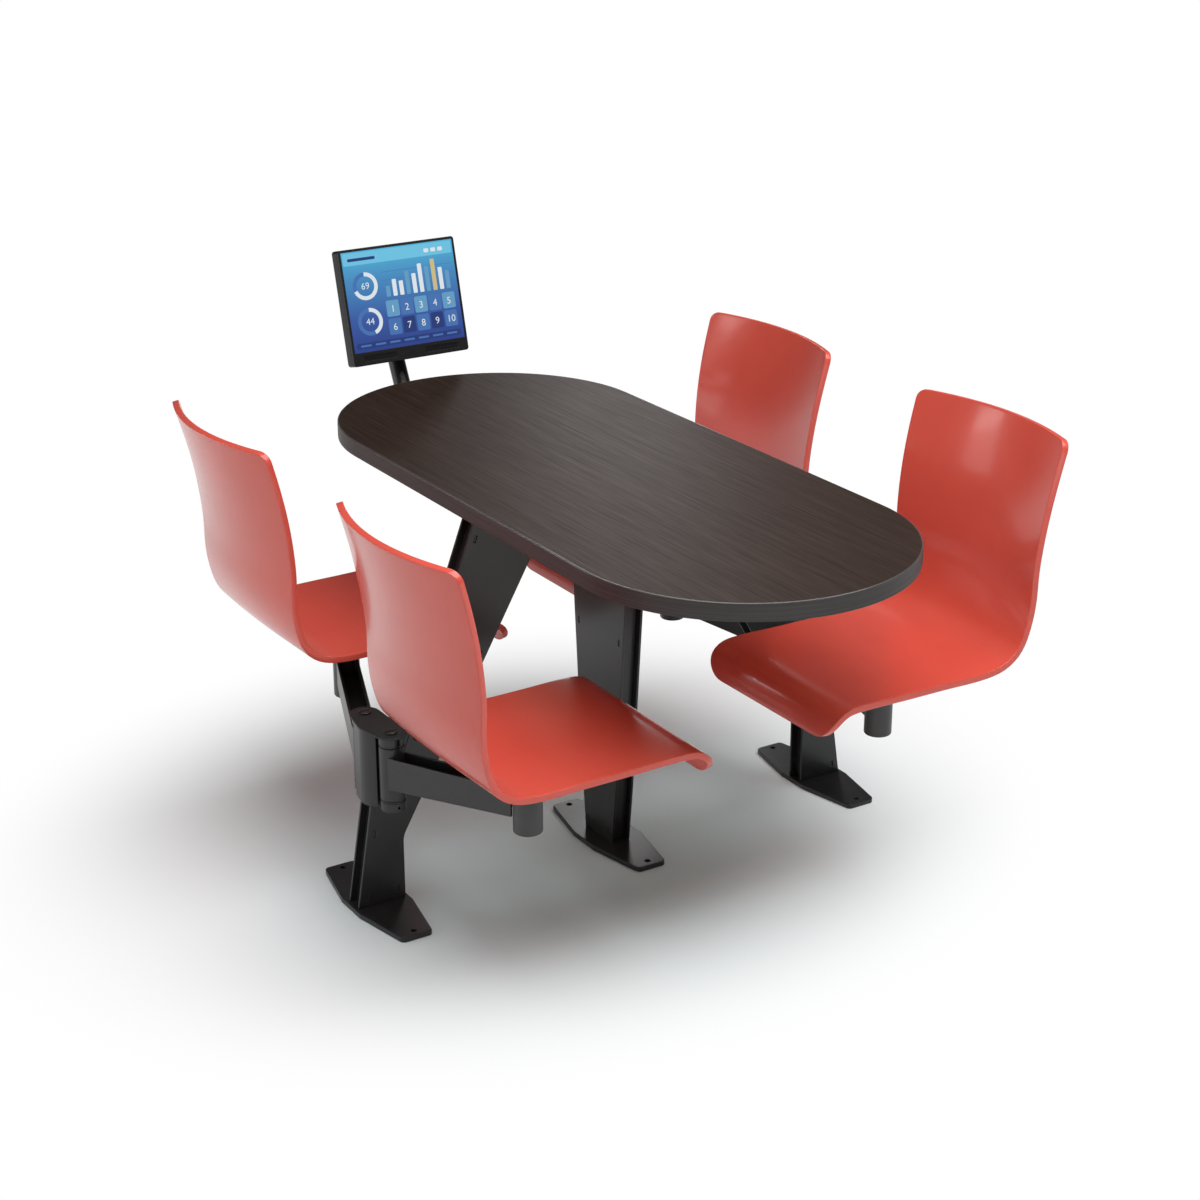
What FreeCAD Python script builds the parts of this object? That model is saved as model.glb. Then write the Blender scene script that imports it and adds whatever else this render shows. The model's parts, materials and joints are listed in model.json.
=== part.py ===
import math
import os

import FreeCAD
import Part

os.makedirs("parts", exist_ok=True)
Vector = FreeCAD.Vector
up = Vector(0, 0, 1)
origin = Vector(0, 0, 0)

# Sizes are in millimetres. The floor is z = 0, the table runs along X and its middle is the origin.
# Table top
table_length = 1430.0
table_width = 610.0
table_height = 737.0
table_thickness = 31.75
laminate_thickness = 1.25
band_thickness = 3.0
band_round = 2.2
barb_depth = 7.0
barb_thickness = 2.4
underside = table_height - table_thickness

# Welded legs: two flat plates with recessed webs between them
leg_width = 40.0
plate_thickness = 5.0
web_inset = 12.5
web_thickness = 4.0
tab_length = 12.0
tab_recess = 1.0
tab_foot_inset = 20.0
notch_tab_drop = 57.0
side_tab_shares = (0.23, 0.595, 0.9365)
inner_tab_shares = (0.192, 0.561, 0.945)
column_tab_shares = (0.123, 0.527, 0.945)
web_overrun = 40.0
slot_clearance = 0.2
flange_thickness = 6.0
flange_corner = 8.0
flange_screw_inset = 14.0
leg_top = underside - flange_thickness

# Foot plates
foot_thickness = 10.0
foot_half_length = 156.0
foot_end_half_width = 30.0
foot_middle_half_width = 54.0
foot_middle_half_length = 36.0
foot_end_round = 10.0
foot_middle_round = 12.0
foot_chamfer = 1.2
anchor_spacing = 280.0
anchor_hole_radius = 5.5

# Side leg outline, y measured out from the table's middle
side_leg_outer_notch = 509.7
foot_spread = 31.8
foot_depth = 95.0
side_leg_outer_foot = side_leg_outer_notch + foot_spread
side_leg_inner_foot = side_leg_outer_foot - foot_depth
notch_depth = 35.5
side_leg_outer_shelf = side_leg_outer_notch - notch_depth
side_leg_outer_top = 290.3
side_leg_inner_top = 125.0
side_leg_bend_height = 131.0
side_leg_bend_round = 40.0
side_leg_middle = (side_leg_outer_foot + side_leg_inner_foot) / 2

# Centre column outline, x measured from the table's middle
column_foot_half = 47.0
column_knee_half = 60.0
column_knee_height = 130.0
column_knee_round = 200.0
column_top_half = 105.0

# Double spring hinge on each side leg
hinge_x = 50.5
hinge_setback = 29.7
hinge_y = side_leg_outer_notch - hinge_setback
hinge_shelf = 207.0
hinge_bottom = 209.5
hinge_top = 352.0
barrel_radius = 23.0
lug_half_width = 13.0
ring_height_bottom = 17.5
ring_height_top = 15.5
ring_slit = 3.0
set_screw_radius = 2.2
washer_height = 3.0
washer_step = 0.8
pin_radius = 10.0
pin_recess = 2.0
running_clearance = 0.05
end_clearance = 0.3
knuckle_chamfer = 1.0
hinge_plate_thickness = 3.0
hinge_plate_round = 1.0
hinge_plate_end_radius = 28.0
hinge_plate_bulge_radius = 37.0
cover_radius = 36.0
cover_thickness = 4.0
cover_near_angle = 57.0
cover_far_reach = 36.0
cap_head_radius = 11.5
cap_head_height = 4.0
cap_head_round = 1.8
cap_shank_radius = 5.0
cap_shank_length = 24.0
cap_slot_width = 2.6
cap_slot_depth = 2.2

# Swing arms, each an H section from a hinge knuckle to a seat post
post_x = 340.0
post_y = 374.0
post_radius = 25.5
post_bottom = 260.0
post_floor = 6.0
post_round = 3.0
arm_half_width = 21.0
arm_plate_thickness = 5.0
arm_start = 7.0
arm_end_gap = 0.4
arm_bottom_start = 253.0
arm_bottom_slope = 0.121
arm_top_start = 313.6
arm_top_slope = 0.090
arm_web_thickness = 6.0

# Seat swivel and its bolts
seat_height = 427.0
pad_size = 190.0
pad_thickness = 5.5
pad_inlet = 1.5
pad_round = 20.0
spindle_radius = 19.5
spindle_wall = 4.0
spindle_foot_gap = 3.0
post_top_gap = 6.0
seat_bolt_spacing = 140.0
seat_bolt_radius = 4.0
seat_bolt_grip = 6.0
seat_bolt_head_radius = 6.5
seat_bolt_head_height = 5.0

# Seat shell, a bent sheet; its side edge from the top of the back to the front lip is
# given as (distance behind the post, height above the seat)
seat_x = 338.8
shell_thickness = 12.0
shell_half_width = 188.0
shell_back_half_width = 198.5
shell_corner_radius = 18.0
lip_corner_radius = 50.0
corner_cut_reach = 400.0
lip_cut_clear = 12.0
back_hollow = 41.0
hollow_start = 15.0
hollow_power = 0.55
side_edge = [(224.0, 409.0), (211.5, 363.0), (199.5, 313.0), (190.0, 263.0), (183.5, 213.0), (180.5, 163.0),
             (181.0, 121.0), (173.5, 65.0), (153.5, 22.0), (134.5, 8.5), (94.0, -0.5), (16.0, -0.6),
             (-104.0, 0.7), (-192.0, 1.6), (-224.0, -3.4), (-246.5, -21.5), (-256.0, -44.0), (-258.5, -55.5)]
shell_stations = 46
shell_columns = 9

# Screen on a bent tube at the far end of the table
screen_width = 254.0
screen_height = 203.0
bezel_side = 5.0
bezel_top = 5.5
bezel_bottom = 27.0
bezel_depth = 8.0
bezel_lip = 2.0
bezel_round = 1.5
screen_corner = 6.0
rebate = 3.0
panel_thickness = 4.0
grille_half_length = 38.0
grille_height = 11.0
grille_depth = 0.6
housing_depth = 28.0
housing_wall = 3.0
housing_chamfer = 5.0
boss_half = 55.0
boss_depth = 12.0
screen_tilt = 14.4
screen_set_back = 66.7
screen_rise = 159.2
screen_centre = Vector(-table_length / 2 - screen_set_back, 0, table_height + screen_rise)
tube_radius = 17.5
tube_wall = 2.5
tube_run_height = leg_top - 35.25
tube_hold = 165.0
tube_start_x = tube_hold - table_length / 2
tube_bend_x = -table_length / 2 - 14.5
tube_bend_radius = 80.0
tube_turn = 63.5
tube_straight = 150.0
bracket_size = 100.0
bracket_drop = 10.0
bracket_thickness = 5.0
bracket_corner = 8.0
bracket_hole_spacing = 75.0
bracket_screw_radius = 2.0
bracket_screw_bite = 8.0
bracket_screw_head = 2.5
neck_half_width = 15.0
saddle_length = 100.0
saddle_half_width = 24.0

# Wood screws that hold the flanges to the table
wood_screw_radius = 2.5
wood_screw_bite = 18.0
wood_screw_head_radius = 5.0
wood_screw_head_height = 3.0


def save(name, shapes):
    solids = shapes if isinstance(shapes, list) else [shapes]
    shape = solids[0] if len(solids) == 1 else Part.makeCompound(solids)
    shape.exportStep("parts/%s.step" % name)


def cylinder(radius, low, high, x=0.0, y=0.0):
    return Part.makeCylinder(radius, high - low, Vector(x, y, low), up)


def block(x_low, x_high, y_low, y_high, z_low, z_high):
    size = (x_high - x_low, y_high - y_low, z_high - z_low)
    return Part.makeBox(size[0], size[1], size[2], Vector(x_low, y_low, z_low))


def mirrored(shape, flip_x, flip_y):
    result = shape.copy()
    if flip_x:
        result = result.mirror(origin, Vector(1, 0, 0))
    if flip_y:
        result = result.mirror(origin, Vector(0, 1, 0))
    return result


def edges_at(shape, height):
    return [e for e in shape.Edges if e.BoundBox.ZLength < 0.01 and abs(e.BoundBox.ZMin - height) < 0.01]


def in_plan(u, v):
    return Vector(u, v, 0)


def in_side_view(u, v):
    return Vector(0, u, v)


def in_end_view(u, v):
    return Vector(u, 0, v)


def outline(points, view):
    # A closed outline of (u, v, corner radius) points.
    count = len(points)
    starts = []
    ends = []
    arcs = {}
    for i in range(count):
        corner = view(points[i][0], points[i][1])
        radius = points[i][2]
        after_point = points[(i + 1) % count]
        before = (view(points[i - 1][0], points[i - 1][1]) - corner).normalize()
        after = (view(after_point[0], after_point[1]) - corner).normalize()
        half = before.getAngle(after) / 2
        reach = radius / math.tan(half)
        starts.append(corner + before * reach)
        ends.append(corner + after * reach)
        if radius > 0:
            middle = corner + (before + after).normalize() * (radius / math.sin(half) - radius)
            arcs[i] = Part.Arc(starts[i], middle, ends[i]).toShape()
    loop = []
    for i in range(count):
        if i in arcs:
            loop.append(arcs[i])
        follow = starts[(i + 1) % count]
        if (follow - ends[i]).Length > 1e-6:
            loop.append(Part.makeLine(ends[i], follow))
    return Part.Wire(loop)


def prism(points, view, way):
    return Part.Face(outline(points, view)).extrude(way)


def sharp(points):
    return [(p[0], p[1], 0) for p in points]


def rectangle(x, y, half_length, half_width, radius):
    signs = ((-1, -1), (1, -1), (1, 1), (-1, 1))
    return [(x + a * half_length, y + b * half_width, radius) for a, b in signs]


def offset_line(points, distance):
    # Moves an open polyline sideways, to the left of its direction when distance is positive.
    moved = []
    for a, b in zip(points[:-1], points[1:]):
        way = Vector(b[0] - a[0], b[1] - a[1], 0).normalize()
        side = Vector(-way.y, way.x, 0) * distance
        moved.append((Vector(a[0], a[1], 0) + side, way))
    result = [moved[0][0]]
    for (p, d), (q, e) in zip(moved[:-1], moved[1:]):
        cross = d.x * e.y - d.y * e.x
        result.append(p + d * (((q.x - p.x) * e.y - (q.y - p.y) * e.x) / cross))
    way = moved[-1][1]
    result.append(Vector(points[-1][0], points[-1][1], 0) + Vector(-way.y, way.x, 0) * distance)
    return [(p.x, p.y) for p in result]


def stretched(points, reach):
    # Lengthens both ends of a polyline.
    a, b, c, d = [Vector(p[0], p[1], 0) for p in (points[0], points[1], points[-2], points[-1])]
    first = a + (a - b).normalize() * reach
    last = d + (d - c).normalize() * reach
    return [(first.x, first.y)] + points[1:-1] + [(last.x, last.y)]


def along(points, height):
    # Position and direction where a polyline passes a height.
    for a, b in zip(points[:-1], points[1:]):
        if a[1] <= height <= b[1] and b[1] > a[1]:
            share = (height - a[1]) / (b[1] - a[1])
            return a[0] + (b[0] - a[0]) * share, Vector(b[0] - a[0], b[1] - a[1], 0).normalize()
    return points[-1][0], Vector(0, 1, 0)


def tab(spine, height, clearance, x_low, x_high):
    # A block across the leg that follows the slope of its web.
    u, way = along(spine, height)
    side = Vector(-way.y, way.x, 0) * (web_thickness / 2 + clearance)
    ahead = way * (tab_length / 2 + clearance)
    centre = Vector(u, height, 0)
    corners = [centre - ahead - side, centre + ahead - side, centre + ahead + side, centre - ahead + side]
    solid = prism([(p.x, p.y, 0) for p in corners], in_side_view, Vector(x_high - x_low, 0, 0))
    return solid.translate(Vector(x_low, 0, 0))


def spread(low, shares):
    # Heights between a bend of the leg and its top.
    return [low + share * (leg_top - low) for share in shares]


def make_leg(outer_edge, inner_edge, outer_tabs, inner_tabs):
    # Leg box in the side view: plates at both X faces, webs set in from both edges and tabbed into them.
    half = leg_width / 2
    gap = half - plate_thickness
    ring = outer_edge + list(reversed(inner_edge))
    plate = prism(ring, in_side_view, Vector(plate_thickness, 0, 0)).translate(Vector(gap, 0, 0))
    limits = block(-gap, gap, -table_length, table_length, foot_thickness, leg_top)
    webs = []
    for edge, turn, heights in ((outer_edge, 1, outer_tabs), (inner_edge, -1, inner_tabs)):
        near = stretched(offset_line(edge, turn * web_inset), web_overrun)
        far = stretched(offset_line(edge, turn * (web_inset + web_thickness)), web_overrun)
        middle = offset_line(edge, turn * (web_inset + web_thickness / 2))
        web = prism(sharp(near + list(reversed(far))), in_side_view, Vector(2 * gap, 0, 0))
        web = web.translate(Vector(-gap, 0, 0)).common(limits)
        for height in heights:
            web = web.fuse(tab(middle, height, 0, tab_recess - half, half - tab_recess))
            plate = plate.cut(tab(middle, height, slot_clearance, gap - 1, half + 1))
        webs.append(web.removeSplitter())
    return plate, plate.mirror(origin, Vector(1, 0, 0)), webs[0], webs[1]


def make_foot():
    points = []
    for a, b in ((-1, -1), (1, -1), (1, 1), (-1, 1)):
        end = (a * foot_half_length, b * foot_end_half_width, foot_end_round)
        middle = (a * foot_middle_half_length, b * foot_middle_half_width, foot_middle_round)
        points += [end, middle] if a * b > 0 else [middle, end]
    plate = prism(points, in_plan, up * foot_thickness)
    plate = plate.makeChamfer(foot_chamfer, edges_at(plate, foot_thickness))
    for side in (-1, 1):
        plate = plate.cut(cylinder(anchor_hole_radius, -1, foot_thickness + 1, side * anchor_spacing / 2))
    return plate


def wood_screw(x, y):
    head = cylinder(wood_screw_head_radius, leg_top - wood_screw_head_height, leg_top, x, y)
    return head.fuse(screw_hole(x, y)).removeSplitter()


def screw_hole(x, y):
    return cylinder(wood_screw_radius, leg_top, underside + wood_screw_bite, x, y)


def table_slab(inset, low, high):
    # A slab with half-round ends, set in from the table's rim.
    radius = table_width / 2 - inset
    run = (table_length - table_width) / 2
    corners = [Vector(a * run, b * radius, low) for a, b in ((-1, -1), (1, -1), (1, 1), (-1, 1))]
    wire = Part.Wire([Part.makeLine(corners[0], corners[1]),
                      Part.Arc(corners[1], Vector(run + radius, 0, low), corners[2]).toShape(),
                      Part.makeLine(corners[2], corners[3]),
                      Part.Arc(corners[3], Vector(-run - radius, 0, low), corners[0]).toShape()])
    return Part.Face(wire).extrude(up * (high - low))


# Flanges under the table and their screws: middle x, middle y, half length, half width
flange_middle = (side_leg_outer_top + side_leg_inner_top) / 2
saddle_x = tube_start_x - 10.0 - saddle_length / 2
flange_places = {"left_leg_flange": (0, -flange_middle, 55.0, 80.0),
                 "right_leg_flange": (0, flange_middle, 55.0, 80.0),
                 "column_flange": (0, 0, 115.0, 50.0),
                 "screen_tube_saddle": (saddle_x, 0, 70.0, 45.0)}
flanges = {}
screw_spots = []
for name, (x, y, a, b) in flange_places.items():
    plate = prism(rectangle(x, y, a, b, flange_corner), in_plan, up * flange_thickness)
    plate = plate.translate(up * leg_top)
    for u, v, _ in rectangle(x, y, a - flange_screw_inset, b - flange_screw_inset, 0):
        plate = plate.cut(screw_hole(u, v))
        screw_spots.append((u, v))
    flanges[name] = plate

# Table top: core, laminate sheet and a barbed edge band pushed into a groove in the core
core_top = table_height - laminate_thickness
barb_low = underside + (table_thickness - barb_thickness) / 2
barb_high = barb_low + barb_thickness
barb = table_slab(band_thickness, barb_low, barb_high)
barb = barb.cut(table_slab(band_thickness + barb_depth, barb_low, barb_high))
core = table_slab(band_thickness, underside, core_top).cut(barb)
for x, y in screw_spots:
    core = core.cut(screw_hole(x, y))
band = table_slab(0, underside, table_height)
band = band.makeFillet(band_round, edges_at(band, underside) + edges_at(band, table_height))
band = band.cut(table_slab(band_thickness, underside - 1, table_height + 1)).fuse(barb).removeSplitter()
save("table_core", core)
save("table_laminate", table_slab(band_thickness, core_top, table_height))
save("table_edge_band", band)
save("table_screws", [wood_screw(x, y) for x, y in screw_spots])

# Side legs, notched on the outside for the hinge
side_outer = [(side_leg_outer_foot, foot_thickness, 0), (side_leg_outer_notch, hinge_shelf, 0),
              (side_leg_outer_shelf, hinge_shelf, 0), (side_leg_outer_top, leg_top, 0)]
side_inner = [(side_leg_inner_foot, foot_thickness, 0),
              (side_leg_inner_foot, side_leg_bend_height, side_leg_bend_round),
              (side_leg_inner_top, leg_top, 0)]
lowest_tab = foot_thickness + tab_foot_inset
outer_tabs = [lowest_tab, hinge_shelf - notch_tab_drop] + spread(hinge_shelf, side_tab_shares)
inner_tabs = [lowest_tab] + spread(side_leg_bend_height, inner_tab_shares)
side_leg = make_leg(side_outer, side_inner, outer_tabs, inner_tabs)
foot = make_foot()
for side_name, flip in (("left", True), ("right", False)):
    for piece, shape in zip(("plate_near", "plate_far", "web_outer", "web_inner"), side_leg):
        save("%s_leg_%s" % (side_name, piece), mirrored(shape, False, flip))
    foot_y = -side_leg_middle if flip else side_leg_middle
    save("%s_leg_foot" % side_name, foot.translated(Vector(0, foot_y, 0)))
    save("%s_leg_flange" % side_name, flanges["%s_leg_flange" % side_name])

# Centre column, the same kind of box turned a quarter turn
column_edge = [(column_foot_half, foot_thickness, 0),
               (column_knee_half, column_knee_height, column_knee_round),
               (column_top_half, leg_top, 0)]
column_tabs = [lowest_tab] + spread(column_knee_height, column_tab_shares)
column = make_leg(column_edge, [(-u, v, r) for u, v, r in column_edge], column_tabs, column_tabs)
for piece, shape in zip(("plate_right", "plate_left", "web_far", "web_near"), column):
    save("column_%s" % piece, shape.rotated(origin, up, 90))
save("column_foot", foot)
save("column_flange", flanges["column_flange"])

# Hinge frame: a spine standing in the leg's notch, with a ring at the top and the bottom of each barrel
top_ring_low = hinge_top - ring_height_top
bottom_ring_high = hinge_bottom + ring_height_bottom
cover_inside = cover_radius - cover_thickness
notch_slope = (side_leg_outer_shelf - side_leg_outer_top) / (leg_top - hinge_shelf)
spine_points = [(hinge_y + cover_inside, hinge_shelf), (hinge_y + cover_inside, hinge_top),
                (side_leg_outer_shelf - notch_slope * (hinge_top - hinge_shelf), hinge_top),
                (side_leg_outer_shelf, hinge_shelf)]
frame = prism(sharp(spine_points), in_side_view, Vector(leg_width, 0, 0))
frame = frame.translate(Vector(-leg_width / 2, 0, 0))
front = block(-leg_width, leg_width, hinge_y, hinge_y + cover_radius, hinge_shelf, hinge_top)
frame = frame.cut(front.cut(cylinder(cover_inside, hinge_shelf, hinge_top, 0, hinge_y)))
for low, high in ((hinge_bottom, bottom_ring_high), (top_ring_low, hinge_top)):
    lug = block(-hinge_x, hinge_x, hinge_y - lug_half_width, hinge_y + lug_half_width, low, high)
    frame = frame.fuse(lug)
    for end in (-1, 1):
        frame = frame.fuse(cylinder(barrel_radius, low, high, end * hinge_x, hinge_y))
leg_slope = [(side_leg_outer_shelf, hinge_shelf), (side_leg_outer_top, leg_top),
             (0, leg_top), (0, hinge_shelf)]
leg_zone = prism(sharp(leg_slope), in_side_view, Vector(leg_width, 0, 0))
frame = frame.cut(leg_zone.translate(Vector(-leg_width / 2, 0, 0))).removeSplitter()
for end in (-1, 1):
    x = end * hinge_x
    frame = frame.cut(cylinder(pin_radius, hinge_bottom - 1, hinge_top + 1, x, hinge_y))
    x_low, x_high = sorted((x, x + end * (barrel_radius + 2)))
    slit_y = hinge_y - lug_half_width / 4
    slit = block(x_low, x_high, slit_y - ring_slit / 2, slit_y + ring_slit / 2, top_ring_low, hinge_top)
    frame = frame.cut(slit)
    screw_start = Vector(x, hinge_y, hinge_bottom + ring_height_bottom / 2)
    frame = frame.cut(Part.makeCylinder(set_screw_radius, barrel_radius + 2, screw_start, Vector(end, 0, 0)))

# Hinge top plate: round ends joined by straight tangents to a bulge over the cover
tilt = math.asin((hinge_plate_bulge_radius - hinge_plate_end_radius) / hinge_x)
lean = Vector(math.sin(tilt), math.cos(tilt), 0)
middle = Vector(0, hinge_y, hinge_top)
end_touch = middle + Vector(hinge_x, 0, 0) + lean * hinge_plate_end_radius
bulge_touch = middle + lean * hinge_plate_bulge_radius
end_inner = middle + Vector(hinge_x, -hinge_plate_end_radius, 0)
end_middle = middle + Vector(hinge_x + hinge_plate_end_radius, 0, 0)
bulge_peak = middle + Vector(0, hinge_plate_bulge_radius, 0)
far_touch, far_bulge, far_inner, far_middle = [Vector(-p.x, p.y, p.z)
                                               for p in (end_touch, bulge_touch, end_inner, end_middle)]
hinge_wire = Part.Wire([Part.Arc(end_inner, end_middle, end_touch).toShape(),
                        Part.makeLine(end_touch, bulge_touch),
                        Part.Arc(bulge_touch, bulge_peak, far_bulge).toShape(),
                        Part.makeLine(far_bulge, far_touch),
                        Part.Arc(far_touch, far_middle, far_inner).toShape(),
                        Part.makeLine(far_inner, end_inner)])
plate_top = hinge_top + hinge_plate_thickness
hinge_plate = Part.Face(hinge_wire).extrude(up * hinge_plate_thickness)
hinge_plate = hinge_plate.makeFillet(hinge_plate_round, edges_at(hinge_plate, plate_top))

# Pins, slotted caps and washers of one double hinge, and the cover between its barrels: round towards the
# near barrel and straight towards the far one
pins = []
caps = []
washers = []
cap_top = plate_top + cap_head_height
for x in (-hinge_x, hinge_x):
    shank = cylinder(cap_shank_radius, plate_top - cap_shank_length, plate_top, x, hinge_y)
    hinge_plate = hinge_plate.cut(shank)
    pins.append(cylinder(pin_radius, hinge_bottom + pin_recess, hinge_top, x, hinge_y).cut(shank))
    head = cylinder(cap_head_radius, plate_top, cap_top, x, hinge_y)
    head = head.makeFillet(cap_head_round, edges_at(head, cap_top))
    slot = block(x - cap_slot_width / 2, x + cap_slot_width / 2, hinge_y - cap_head_radius,
                 hinge_y + cap_head_radius, cap_top - cap_slot_depth, cap_top)
    caps.append(head.cut(slot).fuse(shank).removeSplitter())
    for low in (bottom_ring_high, top_ring_low - washer_height):
        washer = cylinder(barrel_radius - washer_step, low, low + washer_height, x, hinge_y)
        washers.append(washer.cut(cylinder(pin_radius, low - 1, low + washer_height + 1, x, hinge_y)))
near_turn = math.radians(cover_near_angle)
near_way = Vector(math.sin(near_turn), math.cos(near_turn), 0)
far_way = Vector(-math.sin(tilt), math.cos(tilt), 0)
cover_centre = Vector(0, hinge_y, hinge_shelf)
cover_edges = []
cover_ends = []
for radius in (cover_radius, cover_inside):
    near_end = cover_centre + near_way * radius
    touch = cover_centre + far_way * radius
    far_end = touch - Vector(far_way.y, -far_way.x, 0) * ((cover_far_reach + touch.x) / far_way.y)
    arc = Part.Arc(near_end, cover_centre + Vector(0, radius, 0), touch)
    cover_edges += [arc.toShape(), Part.makeLine(touch, far_end)]
    cover_ends.append((near_end, far_end))
cover_edges += [Part.makeLine(cover_ends[0][k], cover_ends[1][k]) for k in (0, 1)]
cover_wire = Part.Wire(Part.__sortEdges__(cover_edges))
cover = Part.Face(cover_wire).extrude(up * (hinge_top - hinge_shelf))
for side_name, flip in (("left", True), ("right", False)):
    save("%s_hinge_frame" % side_name, mirrored(frame, False, flip))
    save("%s_hinge_cover" % side_name, mirrored(cover, False, flip))
    save("%s_hinge_plate" % side_name, mirrored(hinge_plate, False, flip))
for name, solids in (("hinge_pins", pins), ("hinge_caps", caps), ("hinge_washers", washers)):
    save(name, [mirrored(solid, False, flip) for flip in (True, False) for solid in solids])

# Swing arm, drawn along X from its hinge and then turned towards the post
arm_length = math.hypot(post_x - hinge_x, post_y - hinge_y)
arm_angle = math.degrees(math.atan2(post_y - hinge_y, post_x - hinge_x))
inner_half = arm_half_width - arm_plate_thickness
arm_stop = arm_length - math.sqrt(post_radius ** 2 - inner_half ** 2) - arm_end_gap


def arm_low(s):
    return arm_bottom_start + arm_bottom_slope * s


def arm_high(s):
    return arm_top_start + arm_top_slope * s


def arm_middle(s):
    return (arm_low(s) + arm_high(s)) / 2


knuckle_low = bottom_ring_high + washer_height + end_clearance
knuckle_high = top_ring_low - washer_height - end_clearance
arm = cylinder(barrel_radius, knuckle_low, knuckle_high)
arm = arm.makeChamfer(knuckle_chamfer, edges_at(arm, knuckle_low) + edges_at(arm, knuckle_high))
side_points = [(arm_start, arm_low(arm_start)), (arm_stop, arm_low(arm_stop)),
               (arm_stop, arm_high(arm_stop)), (arm_start, arm_high(arm_start))]
for v in (-arm_half_width, inner_half):
    side_plate = prism(sharp(side_points), in_end_view, Vector(0, arm_plate_thickness, 0))
    arm = arm.fuse(side_plate.translate(Vector(0, v, 0)))
half_web = arm_web_thickness / 2
web_points = [(arm_start, arm_middle(arm_start) - half_web), (arm_length, arm_middle(arm_length) - half_web),
              (arm_length, arm_middle(arm_length) + half_web), (arm_start, arm_middle(arm_start) + half_web)]
arm_web = prism(sharp(web_points), in_end_view, Vector(0, 2 * inner_half, 0))
arm = arm.fuse(arm_web.translate(Vector(0, -inner_half, 0)))
arm = arm.cut(cylinder(post_radius, 0, table_height, arm_length, 0))
arm = arm.cut(cylinder(pin_radius + running_clearance, 0, table_height)).removeSplitter()
arm = arm.rotated(origin, up, arm_angle).translated(Vector(hinge_x, hinge_y, 0))

# Seat post, and the swivel that turns in it: a spindle tube with a square pad under the shell
pad_top = seat_height - shell_thickness + pad_inlet
pad_low = pad_top - pad_thickness
post_top = pad_low - post_top_gap
post = cylinder(post_radius, post_bottom, post_top, post_x, post_y)
post = post.makeFillet(post_round, edges_at(post, post_bottom) + edges_at(post, post_top))
bore_radius = spindle_radius + running_clearance
post = post.cut(cylinder(bore_radius, post_bottom + post_floor, post_top, post_x, post_y))
pad_points = rectangle(post_x, post_y, pad_size / 2, pad_size / 2, pad_round)
swivel = prism(pad_points, in_plan, up * pad_thickness).translate(up * pad_low)
spindle_low = post_bottom + post_floor + spindle_foot_gap
spindle = cylinder(spindle_radius, spindle_low, pad_low, post_x, post_y)
spindle = spindle.cut(cylinder(spindle_radius - spindle_wall, spindle_low, pad_low, post_x, post_y))
swivel = swivel.fuse(spindle).removeSplitter()
seat_bolts = []
for x, y, _ in rectangle(post_x, post_y, seat_bolt_spacing / 2, seat_bolt_spacing / 2, 0):
    shank = cylinder(seat_bolt_radius, pad_low, pad_top + seat_bolt_grip, x, y)
    swivel = swivel.cut(shank)
    turns = [math.radians(60 * k) for k in range(6)]
    radius = seat_bolt_head_radius
    corners = [(x + radius * math.cos(turn), y + radius * math.sin(turn)) for turn in turns]
    head = prism(sharp(corners), in_plan, up * seat_bolt_head_height)
    head = head.translate(up * (pad_low - seat_bolt_head_height))
    seat_bolts.append(head.fuse(shank).removeSplitter())


def smooth(share):
    share = min(1.0, max(0.0, share))
    return share * share * (3 - 2 * share)


def shell_grids():
    # Sitting face and rear face of the shell as rows of points, from the top of the back to the lip.
    curve = Part.BSplineCurve()
    curve.interpolate([Vector(0, post_y + q, seat_height + z) for q, z in side_edge])
    back_height = side_edge[0][1]
    sitting = []
    rear = []
    for p in curve.discretize(Number=shell_stations):
        way = curve.tangent(curve.parameter(p))[0]
        rise = p.z - seat_height
        hollow = back_hollow * (max(0.0, rise - hollow_start) / (back_height - hollow_start)) ** hollow_power
        flare = smooth(rise / back_height)
        half_width = shell_half_width + (shell_back_half_width - shell_half_width) * flare
        sitting_row = []
        rear_row = []
        for j in range(shell_columns):
            u = -1 + 2.0 * j / (shell_columns - 1)
            spot = Vector(seat_x + half_width * u, p.y + hollow * (1 - u * u), p.z)
            across = Vector(half_width, -2 * hollow * u, 0)
            sitting_row.append(spot)
            rear_row.append(spot + across.cross(way).normalize() * shell_thickness)
        sitting.append(sitting_row)
        rear.append(rear_row)
    return sitting, rear


def rim_curves(surface):
    first_u, last_u, first_v, last_v = surface.bounds()
    isos = (surface.uIso(first_u), surface.uIso(last_u), surface.vIso(first_v), surface.vIso(last_v))
    return [iso.toShape() for iso in isos]


def corner_waste(x, z, radius, sign_x, sign_z, y_low, y_high):
    # The waste outside a rounded corner, seen along Y.
    centre_x = x - sign_x * radius
    centre_z = z - sign_z * radius
    x_low, x_high = sorted((centre_x, x + sign_x * radius))
    z_low, z_high = sorted((centre_z, z + sign_z * radius))
    waste = block(x_low, x_high, y_low, y_high, z_low, z_high)
    start = Vector(centre_x, y_low, centre_z)
    return waste.cut(Part.makeCylinder(radius, y_high - y_low, start, Vector(0, 1, 0)))


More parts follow.
